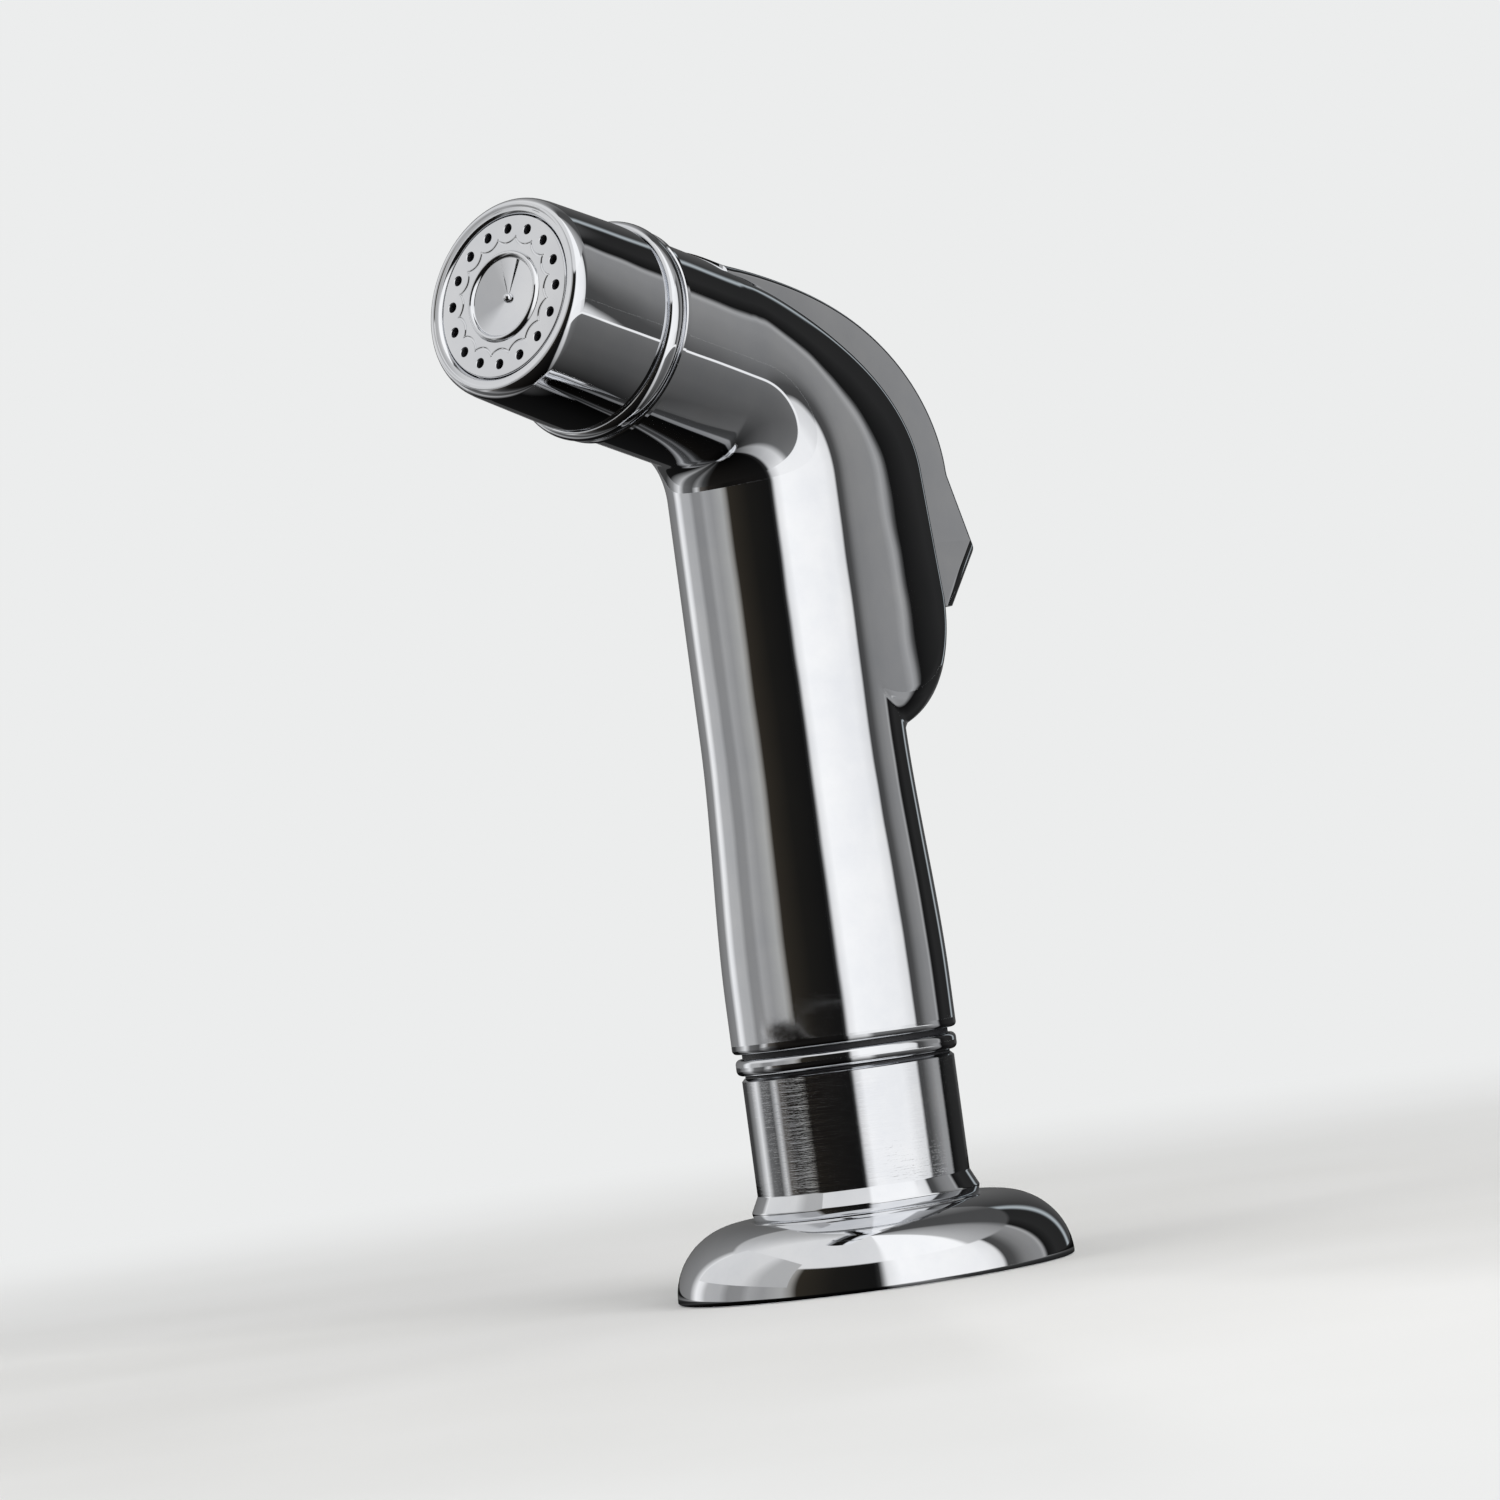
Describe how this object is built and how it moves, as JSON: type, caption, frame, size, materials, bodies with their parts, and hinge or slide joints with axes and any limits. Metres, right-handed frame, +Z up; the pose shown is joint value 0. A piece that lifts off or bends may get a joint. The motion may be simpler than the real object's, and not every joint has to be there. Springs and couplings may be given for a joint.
{
  "type": "kitchen side spray",
  "caption": "Hand spray with a thumb lever and an angled round spray head, standing in a flanged deck holder with a threaded shank.",
  "frame": {"origin": "centre of the flange's underside, on the deck", "axes": "+Z up along the handle and the holder, the spray head points to -Y, the thumb lever is on +Y, +X across"},
  "size_m": [0.055, 0.0868, 0.2165],
  "materials": {
    "chromed_brass": "polished chrome plate on turned brass",
    "chromed_plastic": "polished chrome plate on moulded ABS",
    "black_rubber": "matt nitrile rubber",
    "black_plastic": "fine matt acetal",
    "grey_plastic": "fine matt acetal",
    "white_plastic": "moulded natural acetal",
    "zinc_steel": "zinc plated, dull",
    "spring_steel": "drawn stainless",
    "yellow_brass": "turned, uncoated"
  },
  "bodies": {
    "holder": {"flange": "chromed_brass", "flange_gasket": "black_rubber", "holder_sleeve": "chromed_brass", "holder_liner": "black_plastic", "mounting_washer": "zinc_steel", "mounting_nut": "yellow_brass"},
    "hose_coupling": {"coupling_ring": "chromed_brass", "thrust_washer": "black_plastic", "guide_cone": "grey_plastic", "swivel_nipple": "yellow_brass", "nipple_oring": "black_rubber", "retaining_clip": "spring_steel", "hose_washer": "black_rubber"},
    "sprayer": {"body_shell": "chromed_plastic", "inner_core": "white_plastic", "coupling_nut": "yellow_brass", "valve_seat": "white_plastic", "valve_bonnet": "yellow_brass", "bonnet_oring": "black_rubber", "valve_spring": "spring_steel", "lever_pin": "spring_steel", "head_adapter": "white_plastic", "adapter_oring": "black_rubber", "flow_disc": "black_plastic", "inlet_screen": "spring_steel", "face_gasket": "black_rubber", "head_ring": "chromed_plastic", "spray_cap": "chromed_plastic", "spray_face": "chromed_plastic"},
    "lever": {"thumb_lever": "chromed_plastic"},
    "stem": {"valve_stem": "yellow_brass", "stem_washer": "black_rubber"}
  },
  "joints": [
    {"name": "spray_lift", "type": "slide", "parent": "holder", "child": "hose_coupling", "axis": [0, 0, 1], "range_m": [0, 0.06]},
    {"name": "spray_swivel", "type": "hinge", "parent": "hose_coupling", "child": "sprayer", "pos_m": [0, 0, 0.033], "axis": [0, 0, 1], "continuous": true},
    {"name": "lever_press", "type": "hinge", "parent": "sprayer", "child": "lever", "pos_m": [0, -0.00812, 0.13463], "axis": [-1, 0, 0], "range_deg": [0, 4], "stiffness_Nm_per_rad": 1.2, "springref_deg": -6.88},
    {"name": "stem_slide", "type": "slide", "parent": "sprayer", "child": "stem", "axis": [0, -1, 0], "range_m": [0, 0.00232], "deforming": ["valve_spring"]}
  ],
  "couplings": [
    {"joint": "stem_slide", "follows": "lever_press", "m_per_rad": 0.03313}
  ]
}
